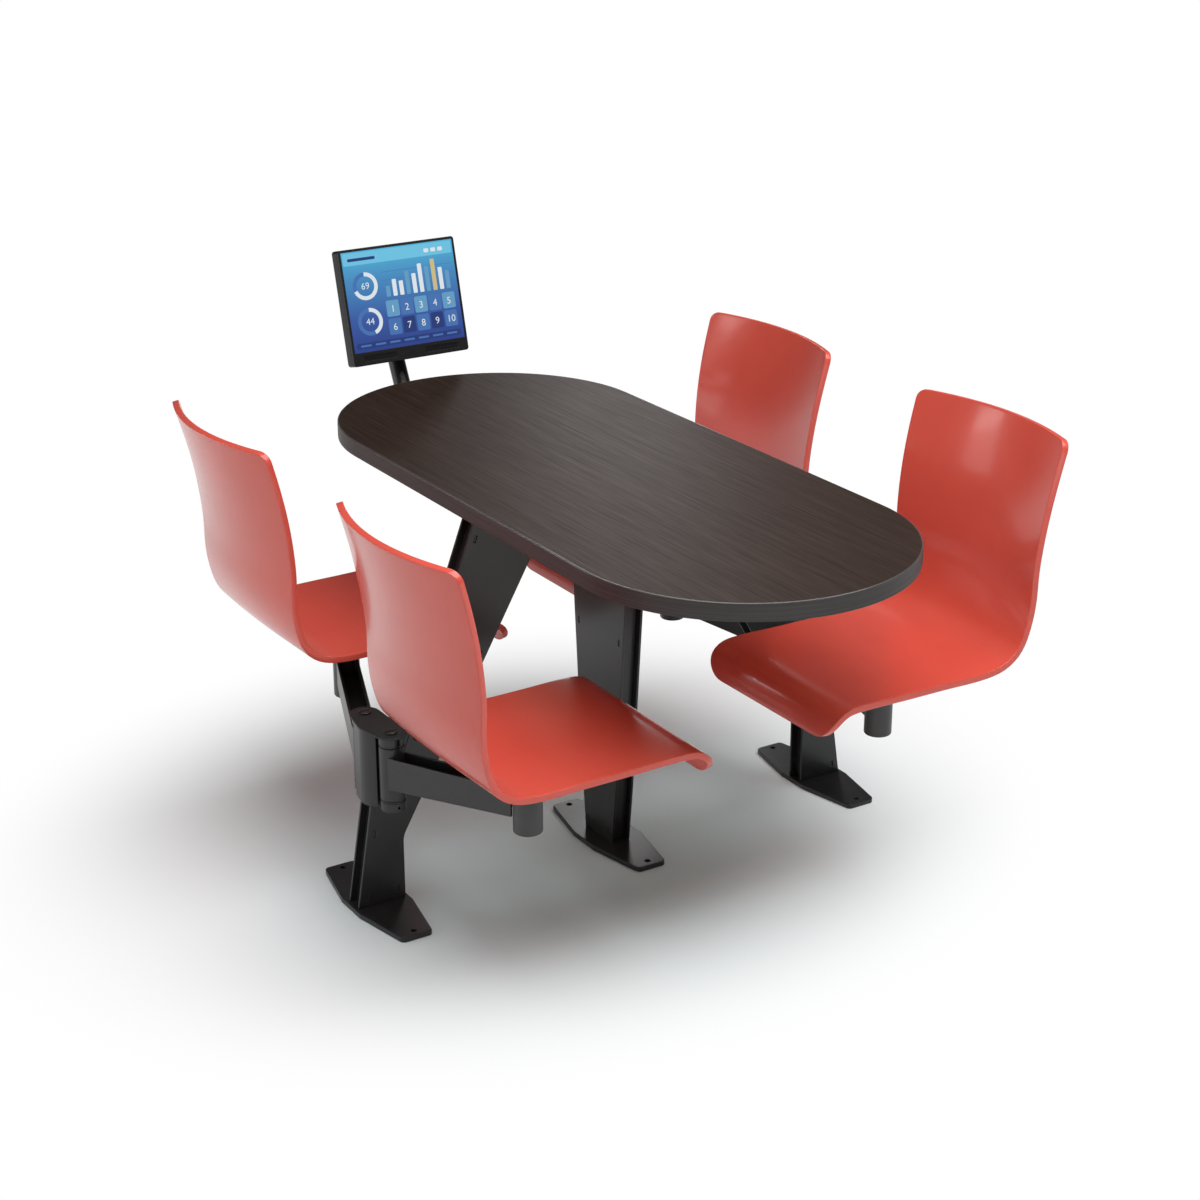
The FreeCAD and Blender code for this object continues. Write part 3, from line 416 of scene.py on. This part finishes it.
def shellMesh(sy, sx):
    d = seatShell
    line, length = smoothLine(d["sideEdge"], d["lineSteps"])
    whole = length[-1]
    topZ, lipZ = d["sideEdge"][0][1], d["sideEdge"][-1][1]

    def at(s):
        return np.interp(s, length, line[:, 0]), np.interp(s, length, line[:, 1])

    # distance along the sheet at which its side edge reaches a height, near the top or near the lip
    fromTop = length <= d["topStretch"]
    fromLip = length >= whole - d["lipStretch"]

    def topReach(z):
        return np.interp(topZ - z, topZ - line[fromTop, 1], length[fromTop])

    def lipReach(z):
        return np.interp(-(z - lipZ), -(line[fromLip, 1] - lipZ), length[fromLip])

    def halfAt(s):
        share = min(1.0, max(0.0, at(s)[1] / topZ))
        flare = share * share * (3 - 2 * share)
        return d["halfWidth"] + (d["backHalfWidth"] - d["halfWidth"]) * flare

    # point of the sheet, from its length along, distance across and depth below the face
    def spot(s, x, depth):
        q, z = at(s)
        q2, z2 = at(min(whole, s + d["slopeStep"]))
        q1, z1 = at(max(0, s - d["slopeStep"]))
        half = halfAt(s)
        u = x / half
        rise = max(0.0, z - d["hollowStart"]) / (topZ - d["hollowStart"])
        hollow = d["hollow"] * rise ** d["hollowPower"]
        way = Vector((0, q2 - q1, z2 - z1))
        across = Vector((half, -2 * hollow * u, 0))
        p = Vector((d["middleX"] + x, d["postY"] + q + hollow * (1 - u * u), d["seatHeight"] + z))
        p += across.cross(way).normalized() * depth
        return Vector((sx * p.x, sy * p.y, p.z)) * mm

    # outline of the sheet set in by some distance, as four runs of (length along, distance across)
    def outline(inset):
        r1, r2 = d["topCorner"] - inset, d["lipCorner"] - inset
        topArc, lipArc = d["topArc"], d["lipArc"]
        halfTop, halfLip = topArc // 2, lipArc // 2
        topHalf = d["backHalfWidth"] - d["topCorner"]
        lipHalf = d["halfWidth"] - d["lipCorner"]
        turns = [math.pi / 2 * k / topArc for k in range(topArc + 1)]
        topCorner = [(topReach(topZ - d["topCorner"] + r1 * math.cos(a)),
                      topHalf + r1 * math.sin(a)) for a in turns]
        turns = [math.pi / 2 * k / lipArc for k in range(lipArc + 1)]
        lipCorner = [(lipReach(lipZ + d["lipCorner"] - r2 * math.cos(a)),
                      lipHalf + r2 * math.sin(a)) for a in turns]
        flatTop = d["across"] - topArc
        flatLip = d["across"] - lipArc
        straight = d["along"] - halfTop - halfLip
        top = [(topCorner[0][0], topHalf * (2 * k / flatTop - 1)) for k in range(1, flatTop)]
        lip = [(lipCorner[0][0], lipHalf * (2 * k / flatLip - 1)) for k in range(1, flatLip)]
        s0, s1 = topCorner[-1][0], lipCorner[-1][0]
        stations = [s0 + (s1 - s0) * k / straight for k in range(1, straight)]
        side = [(s, halfAt(s) - inset) for s in stations]
        rightSide = topCorner[halfTop:] + side + lipCorner[::-1][:lipArc - halfLip + 1]
        topRun = [(s, -x) for s, x in topCorner[halfTop::-1]] + top + topCorner[:halfTop + 1]
        lipRun = [(s, -x) for s, x in lipCorner[halfLip::-1]] + lip + lipCorner[:halfLip + 1]
        leftSide = [(s, -x) for s, x in rightSide]
        return topRun, rightSide, lipRun, leftSide

    # the two faces, each a grid between the four runs
    bm = bmesh.new()
    e, t = d["edgeRound"], d["thickness"]
    topRun, rightSide, lipRun, leftSide = [np.array(run) for run in outline(e)]
    nu, nv = len(topRun) - 1, len(rightSide) - 1
    grids = []
    for depth in (0.0, t):
        rows = []
        for j in range(nv + 1):
            v = j / nv
            row = []
            for i in range(nu + 1):
                u = i / nu
                corners = ((1 - u) * (1 - v) * topRun[0] + u * (1 - v) * topRun[-1]
                           + (1 - u) * v * lipRun[0] + u * v * lipRun[-1])
                c = ((1 - v) * topRun[i] + v * lipRun[i]
                     + (1 - u) * leftSide[j] + u * rightSide[j] - corners)
                row.append(bm.verts.new(spot(c[0], c[1], depth)))
            rows.append(row)
        for j in range(nv):
            for i in range(nu):
                bm.faces.new((rows[j][i], rows[j][i + 1], rows[j + 1][i + 1], rows[j + 1][i]))
        grids.append(rows)

    def ring(rows):
        return (rows[0][:-1] + [r[-1] for r in rows[:-1]]
                + rows[-1][:0:-1] + [r[0] for r in rows[:0:-1]])

    # the rounded rim between them
    loops = [ring(grids[0])]
    turns = [math.radians(a) for a in d["edgeTurns"]]
    steps = [(e * (1 - math.sin(a)), e * (1 - math.cos(a))) for a in turns]
    levels = steps + [(i, t - k) for i, k in reversed(steps)]
    for inset, depth in levels:
        a, b, c, g = outline(inset)
        run = a[:-1] + b[:-1] + c[:0:-1] + g[:0:-1]
        loops.append([bm.verts.new(spot(s, x, depth)) for s, x in run])
    loops.append(ring(grids[1]))
    for first, second in zip(loops, loops[1:]):
        for k in range(len(first)):
            n = (k + 1) % len(first)
            bm.faces.new((first[k], first[n], second[n], second[k]))
    bmesh.ops.recalc_face_normals(bm, faces=bm.faces)
    for face in bm.faces:
        face.smooth = True
    return finishMesh(bm, "seatShell")


for place, sy, sx in places:
    addPiece("seatShell_" + place, shellMesh(sy, sx), "seat_" + place, seatPlastic,
             ["seat_shell_" + place])
print("seat shells made")


# Steel and case pieces again with their cut edges broken, as they are before coating

# widths in mm, angles in degrees
brokenEdge = {"plate": 1.2, "fine": 0.9, "case": 0.6, "steps": 2, "sharpFrom": 32.0,
              "flatWithin": 0.4, "weld": 0.001}
plates = [side + "_leg_" + piece for side in sides
          for piece in ("plate_near", "plate_far", "web_outer", "web_inner")]
plates += ["column_plate_left", "column_plate_right", "column_web_near", "column_web_far"]
plates += [side + "_hinge_cover" for side in sides]
plates += ["swing_arm_" + place for place, sy, sx in places]
finePieces = [side + "_hinge_frame" for side in sides]
finePieces += ["left_leg_foot", "right_leg_foot", "column_foot", "screen_bracket"]
edgedRows = [(plates, "plate", "black_powder_coat", blackCoat),
             (finePieces, "fine", "black_powder_coat", blackCoat),
             (["screen_housing"], "fine", "screen_case", caseAbs),
             (["screen_bezel"], "case", "screen_case", caseAbs)]


def brokenEdgeMesh(nodeName, width):
    d = brokenEdge
    bm = bmesh.new()
    bm.from_mesh(nodes[nodeName].data)
    bmesh.ops.remove_doubles(bm, verts=bm.verts, dist=d["weld"] * mm)
    bmesh.ops.dissolve_limit(bm, angle_limit=math.radians(d["flatWithin"]),
                             verts=bm.verts, edges=bm.edges)
    sharp = [edge for edge in bm.edges if len(edge.link_faces) == 2
             and edge.calc_face_angle(0) > math.radians(d["sharpFrom"])]
    bmesh.ops.bevel(bm, geom=sharp, offset=width * mm, segments=d["steps"], profile=0.5,
                    affect="EDGES", clamp_overlap=False)
    for face in bm.faces:
        face.smooth = True
    return finishMesh(bm, nodeName)


for names, width, slot, coat in edgedRows:
    for nodeName in names:
        piece = addPiece("edged_" + nodeName, brokenEdgeMesh(nodeName, brokenEdge[width]),
                         nodes[nodeName]["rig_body"], coat, [nodeName])
        piece.modifiers.new("even shading", "WEIGHTED_NORMAL").keep_sharp = True
print("edges broken:", sum(len(row[0]) for row in edgedRows))


# Screen page: a plain design of rings, bars and numbered tiles, drawn just in front of the glass

# in mm from the middle of the glass; a tile is its left, bottom, width, height and corner
screenPage = {"centre": (-781.7, 0.0, 896.2), "lean": 14.4, "lift": 0.25, "layer": 0.2,
              "heading": (-124, 74, 248, 25, 3), "title": (-114, 82, 62, 6, 2),
              "button": (92, 81, 11, 8, 2), "buttons": 3, "buttonPitch": -16,
              "rings": ((30, 250), (-42, 160)), "ringY": -82, "ringOuter": 28, "ringInner": 20,
              "ringStep": 12, "ringDigits": 19, "ringDigitsDrop": 6,
              "rule": (-42, 2, 160, 0.9, 0.3), "rules": 4, "rulePitch": 17,
              "bars": (22, 34, 29, 47, 40, 58, 51, 64, 45, 37), "sandBar": 7, "barAt": (-37, 2.6),
              "barWidth": 9.5, "barCorner": 1.5, "barPitch": 15.4,
              "tile": (-42, -38, 29, 33, 3.5), "columns": 5, "rows": 2, "tilePitch": (32.4, -37),
              "tileDigits": 20, "tileDigitsAt": (14.5, 9),
              "foot": (-120, -95, 240, 12, 3),
              "mark": (-111, -91, 24, 4, 1.5), "marks": 7, "markPitch": 33}
pageInks = {"white": litTint("lit white", "#e9f1f6", 0.9),
            "pale": litTint("lit pale blue", "#6aa3cc", 0.9),
            "mid": litTint("lit mid blue", "#4c78b8", 0.9),
            "deep": litTint("lit deep blue", "#2c3f7e", 0.9),
            "sand": litTint("lit sand", "#d8c58a", 0.9),
            "sky": litTint("lit sky blue", "#72c6e6", 0.95)}
inkOrder = list(pageInks)


# point at y and z on the leaning glass, and x in front of it
def screenPoint(y, z, x=0.0):
    turn = math.radians(screenPage["lean"])
    face = Vector((math.cos(turn), 0, math.sin(turn)))
    up = Vector((-math.sin(turn), 0, math.cos(turn)))
    return (Vector(screenPage["centre"]) + face * x + Vector((0, y, 0)) + up * z) * mm


def drawFlat(bm, points, ink, lift):
    face = bm.faces.new([bm.verts.new(screenPoint(y, z, lift)) for y, z in points])
    face.material_index = inkOrder.index(ink)


def drawTile(bm, tile, ink, lift, moveY=0.0, moveZ=0.0):
    y, z, width, height, corner = tile
    y0, y1 = y + moveY + corner, y + moveY + width - corner
    z0, z1 = z + moveZ + corner, z + moveZ + height - corner
    points = []
    for cy, cz, start in ((y1, z1, 0), (y0, z1, 90), (y0, z0, 180), (y1, z0, 270)):
        turns = [math.radians(start + a) for a in (0, 30, 60, 90)]
        points += [(cy + corner * math.cos(a), cz + corner * math.sin(a)) for a in turns]
    drawFlat(bm, points, ink, lift)


def drawNumber(bm, text, y, z, size, ink, lift):
    curve = bpy.data.curves.new("number", "FONT")
    curve.body = text
    curve.size = size
    curve.align_x = "CENTER"
    curve.resolution_u = 3
    letter = bpy.data.objects.new("number", curve)
    scene.collection.objects.link(letter)
    bpy.context.view_layer.update()
    settled = letter.evaluated_get(bpy.context.evaluated_depsgraph_get())
    flat = bpy.data.meshes.new_from_object(settled)
    corners = [bm.verts.new(screenPoint(y + v.co.x, z + v.co.y, lift)) for v in flat.vertices]
    for polygon in flat.polygons:
        face = bm.faces.new([corners[i] for i in polygon.vertices])
        face.material_index = inkOrder.index(ink)
    bpy.data.objects.remove(letter)
    bpy.data.meshes.remove(flat)
    bpy.data.curves.remove(curve)


def screenPageMesh():
    d = screenPage
    bm = bmesh.new()
    low, high = d["lift"], d["lift"] + d["layer"]
    drawTile(bm, d["heading"], "sky", low)
    for k in range(d["buttons"]):
        drawTile(bm, d["button"], "white", high, d["buttonPitch"] * k)
    drawTile(bm, d["title"], "deep", high)
    # two rings on the left, each with the share that is filled as a number
    outer, inner = d["ringOuter"], d["ringInner"]
    for middle, turned in d["rings"]:
        for start, stop, ink in ((0, turned, "white"), (turned, 360, "mid")):
            count = max(3, round((stop - start) / d["ringStep"]))
            for k in range(count):
                a, b = [math.radians(90 - start - (stop - start) * m / count) for m in (k, k + 1)]
                points = [(d["ringY"] + r * math.cos(turn), middle + r * math.sin(turn))
                          for r, turn in ((outer, a), (outer, b), (inner, b), (inner, a))]
                drawFlat(bm, points, ink, low)
        drawNumber(bm, str(round(100 * turned / 360)), d["ringY"], middle - d["ringDigitsDrop"],
                   d["ringDigits"], "white", low)
    # bars in front of a few rules
    for k in range(d["rules"]):
        drawTile(bm, d["rule"], "mid", low, 0.0, d["rulePitch"] * k)
    for k, tall in enumerate(d["bars"]):
        ink = "sand" if k == d["sandBar"] else "white" if k % 3 else "pale"
        bar = (*d["barAt"], d["barWidth"], tall, d["barCorner"])
        drawTile(bm, bar, ink, high, d["barPitch"] * k)
    # numbered tiles
    for k in range(d["columns"]):
        for m in range(d["rows"]):
            ink = "mid" if (k + m) % 2 else "deep" if m else "pale"
            moveY, moveZ = d["tilePitch"][0] * k, d["tilePitch"][1] * m
            drawTile(bm, d["tile"], ink, low, moveY, moveZ)
            y, z = [d["tile"][i] + d["tileDigitsAt"][i] for i in (0, 1)]
            drawNumber(bm, str(1 + k + d["columns"] * m), y + moveY, z + moveZ,
                       d["tileDigits"], "white", high)
    drawTile(bm, d["foot"], "deep", low)
    for k in range(d["marks"]):
        drawTile(bm, d["mark"], "mid", high, d["markPitch"] * k)
    mesh = finishMesh(bm, "screenPage")
    for ink in inkOrder:
        mesh.materials.append(pageInks[ink])
    return mesh


page = addPiece("screenPage", screenPageMesh(), "frame", None)
for lit in (page, nodes["screen_panel"]):  # no light on the table, as in the photograph
    lit.visible_diffuse = lit.visible_glossy = False
print("screen page drawn")


# Speaker grilles in the lower bezel: fine upright ribs, with a small round sensor window between

# in mm, with front and back counted from the glass
grille = {"middleY": 71.1, "middleZ": -115.0, "halfLength": 37.4, "halfHeight": 5.0, "pitch": 2.2,
          "rib": 1.1, "ribTaper": 0.25, "ribGap": 0.3, "front": 1.9, "back": 1.35}
sensor = {"back": (2.6, 1.95), "front": (1.9, 2.35), "steps": 20}  # radius and height


def grilleMesh():
    d = grille
    bm = bmesh.new()
    count = int(2 * d["halfLength"] / d["pitch"])
    for side in (-1, 1):
        for row in (-1, 0):  # a lower and an upper row, with a split between them
            for k in range(count):
                y = side * d["middleY"] - d["halfLength"] + d["pitch"] * (k + 0.5)
                z0 = d["middleZ"] + row * d["halfHeight"] + d["ribGap"]
                z1 = z0 + d["halfHeight"] - 2 * d["ribGap"]
                back, front = [
                    [bm.verts.new(screenPoint(y + a * (d["rib"] / 2 - shrink), z, x))
                     for a, z in ((-1, z0 + shrink), (1, z0 + shrink),
                                  (1, z1 - shrink), (-1, z1 - shrink))]
                    for x, shrink in ((d["back"], 0.0), (d["front"], d["ribTaper"]))]
                bm.faces.new(front)
                for m in range(4):
                    n = (m + 1) % 4
                    bm.faces.new((back[m], back[n], front[n], front[m]))
    turns = np.linspace(0, 2 * math.pi, sensor["steps"] + 1)[:-1]
    outer, inner = [
        [bm.verts.new(screenPoint(radius * math.cos(a), d["middleZ"] + radius * math.sin(a), x))
         for a in turns]
        for radius, x in (sensor["back"], sensor["front"])]
    for m in range(sensor["steps"]):
        n = (m + 1) % sensor["steps"]
        bm.faces.new((outer[m], outer[n], inner[n], inner[m]))
    bm.faces.new(inner)
    bmesh.ops.recalc_face_normals(bm, faces=bm.faces)
    return finishMesh(bm, "screenGrilles")


addPiece("screenGrilles", grilleMesh(), "frame", grilleAbs)
print("speaker grilles made")


# Studio: white floor and surround that keep the soft shadow, a broad lamp overhead, three soft
# ones round the table and two that show in the gloss only

# in metres; the floor fades to white with distance, and cools towards the red that the seats throw
studio = {"floorHalf": 6, "floorDrop": 0.0005, "fadeCentre": (-0.18, -0.1, 0.0),
          "fadeReach": (0.85, 1.0, 1.0), "fade": (0.42, 1.14),
          "redCentre": (0.25, 0.0, 0.0), "redReach": (0.05, 0.88),
          "cool": "#d9f6f8", "plain": "#f1f5f6", "white": "#ffffff",
          "surround": 0.16, "ceiling": 0.06, "horizon": (-0.2, 0.02)}

half = studio["floorHalf"]
floorMesh = bpy.data.meshes.new("floor")
floorMesh.from_pydata([(-half, -half, 0), (half, -half, 0), (half, half, 0), (-half, half, 0)],
                      [], [(0, 1, 2, 3)])
floor = bpy.data.objects.new("floor", floorMesh)
scene.collection.objects.link(floor)
floor.location.z = -studio["floorDrop"]
floorPaint = bpy.data.materials.new("matt white studio floor")
floorPaint.use_nodes = True
tree = floorPaint.node_tree
tree.nodes.clear()
lightPath = addNode(tree, "ShaderNodeLightPath").outputs
seen = addNode(tree, "ShaderNodeMath", {"operation": "MAXIMUM"}, {
    0: lightPath["Is Camera Ray"], 1: lightPath["Is Glossy Ray"]})
seen = addNode(tree, "ShaderNodeMath", {"operation": "MAXIMUM"}, {
    0: seen.outputs[0], 1: lightPath["Is Transmission Ray"]})
onFloor = addNode(tree, "ShaderNodeTexCoord").outputs["Object"]
away = addNode(tree, "ShaderNodeVectorMath", {"operation": "SUBTRACT"}, {
    0: onFloor, 1: studio["fadeCentre"]})
away = addNode(tree, "ShaderNodeVectorMath", {"operation": "DIVIDE"}, {
    0: away.outputs["Vector"], 1: studio["fadeReach"]})
away = addNode(tree, "ShaderNodeVectorMath", {"operation": "LENGTH"}, {0: away.outputs["Vector"]})
fade = addNode(tree, "ShaderNodeMapRange", {"interpolation_type": "SMOOTHSTEP"}, {
    "Value": away.outputs["Value"], "From Min": studio["fade"][0], "From Max": studio["fade"][1]})
share = addNode(tree, "ShaderNodeMath", {"operation": "MULTIPLY"}, {
    0: seen.outputs[0], 1: fade.outputs["Result"]})
red = addNode(tree, "ShaderNodeVectorMath", {"operation": "DISTANCE"}, {
    0: onFloor, 1: studio["redCentre"]})
warmth = addNode(tree, "ShaderNodeMapRange", inputs={
    "Value": red.outputs["Value"],
    "From Min": studio["redReach"][0], "From Max": studio["redReach"][1]})
pale = addNode(tree, "ShaderNodeMix", {"data_type": "RGBA"}, {
    "Factor": warmth.outputs["Result"], colourA: hexColour(studio["cool"]),
    colourB: hexColour(studio["plain"])})
matt = addNode(tree, "ShaderNodeBsdfDiffuse", inputs={"Color": pale.outputs[colourOut]})
white = addNode(tree, "ShaderNodeEmission", inputs={"Color": hexColour(studio["white"])})
both = addNode(tree, "ShaderNodeMixShader", inputs={
    0: share.outputs[0], 1: matt.outputs[0], 2: white.outputs[0]})
# clear from below, so that the undersides can be looked at
below = addNode(tree, "ShaderNodeNewGeometry").outputs["Backfacing"]
clear = addNode(tree, "ShaderNodeBsdfTransparent")
both = addNode(tree, "ShaderNodeMixShader", inputs={
    0: below, 1: both.outputs[0], 2: clear.outputs[0]})
addNode(tree, "ShaderNodeOutputMaterial", inputs={"Surface": both.outputs[0]})
floorMesh.materials.append(floorPaint)

world = bpy.data.worlds.new("white surround")
world.use_nodes = True
scene.world = world
tree = world.node_tree
lightPath = addNode(tree, "ShaderNodeLightPath").outputs
seen = addNode(tree, "ShaderNodeMath", {"operation": "MAXIMUM"}, {
    0: lightPath["Is Camera Ray"], 1: lightPath["Is Transmission Ray"]})
# gloss shows the white surround at floor level and a dimmer room above it
way = addNode(tree, "ShaderNodeTexCoord").outputs["Generated"]
way = addNode(tree, "ShaderNodeSeparateXYZ", inputs={"Vector": way})
room = addNode(tree, "ShaderNodeMapRange", {"interpolation_type": "SMOOTHSTEP"}, {
    "Value": way.outputs["Z"], "From Min": studio["horizon"][0], "From Max": studio["horizon"][1],
    "To Min": 1.0, "To Max": studio["ceiling"]})
dim = addNode(tree, "ShaderNodeMix", {"data_type": "FLOAT"}, {
    "Factor": lightPath["Is Glossy Ray"], "A": studio["surround"], "B": room.outputs["Result"]})
level = addNode(tree, "ShaderNodeMix", {"data_type": "FLOAT"}, {
    "Factor": seen.outputs[0], "A": dim.outputs["Result"], "B": 1.0})
backdrop = tree.nodes["Background"]
backdrop.inputs["Color"].default_value = hexColour(studio["white"])
tree.links.new(level.outputs["Result"], backdrop.inputs["Strength"])

# name, place, what it points at, width, height, watts, and whether it lights matt surfaces
lamps = [("overheadLamp", (0.8, 0.32, 3.0), (0.8, 0.32, 0), 2.4, 3.6, 108.0, True),
         ("leftLamp", (-0.1, -1.75, 0.55), (0, -0.6, 0.6), 2.0, 0.7, 4.2, True),
         ("backLamp", (-3.2, 2.09, 1.95), (0, 0, 0.7), 0.6, 1.0, 9.2, True),
         ("frontLamp", (2.6, 0.1, 0.7), (0, 0, 0.45), 1.5, 0.8, 5.0, True),
         ("stripLamp", (-1.25, -1.3, 0.85), (0.25, 0.55, 0.7), 0.55, 0.9, 2.6, False),
         ("lipLamp", (-1.25, -1.3, 1.27), (0.34, 0.14, 0.42), 0.5, 0.14, 1.2, False)]
for name, place, target, width, height, watts, onMatt in lamps:
    lamp = bpy.data.lights.new(name, "AREA")
    lamp.shape = "RECTANGLE"
    lamp.size, lamp.size_y = width, height
    lamp.energy = watts
    holder = bpy.data.objects.new(name, lamp)
    scene.collection.objects.link(holder)
    holder.location = place
    holder.visible_camera = False
    holder.visible_diffuse = onMatt
    holder.rotation_euler = (Vector(target) - Vector(place)).to_track_quat("-Z", "Y").to_euler()

# fitted to the photograph: lens and sensor in mm, place in metres, angles in degrees
view = {"lens": 70.35, "sensor": 36.0, "place": (3.4021, -2.1569, 2.0645),
        "down": 21.379, "turn": 57.829}
camera = bpy.data.cameras.new("camera")
camera.lens = view["lens"]
camera.sensor_width = view["sensor"]
cameraHolder = bpy.data.objects.new("camera", camera)
scene.collection.objects.link(cameraHolder)
cameraHolder.location = view["place"]
cameraHolder.rotation_euler = (math.radians(90 - view["down"]), 0, math.radians(view["turn"]))
scene.camera = cameraHolder
print("studio set")
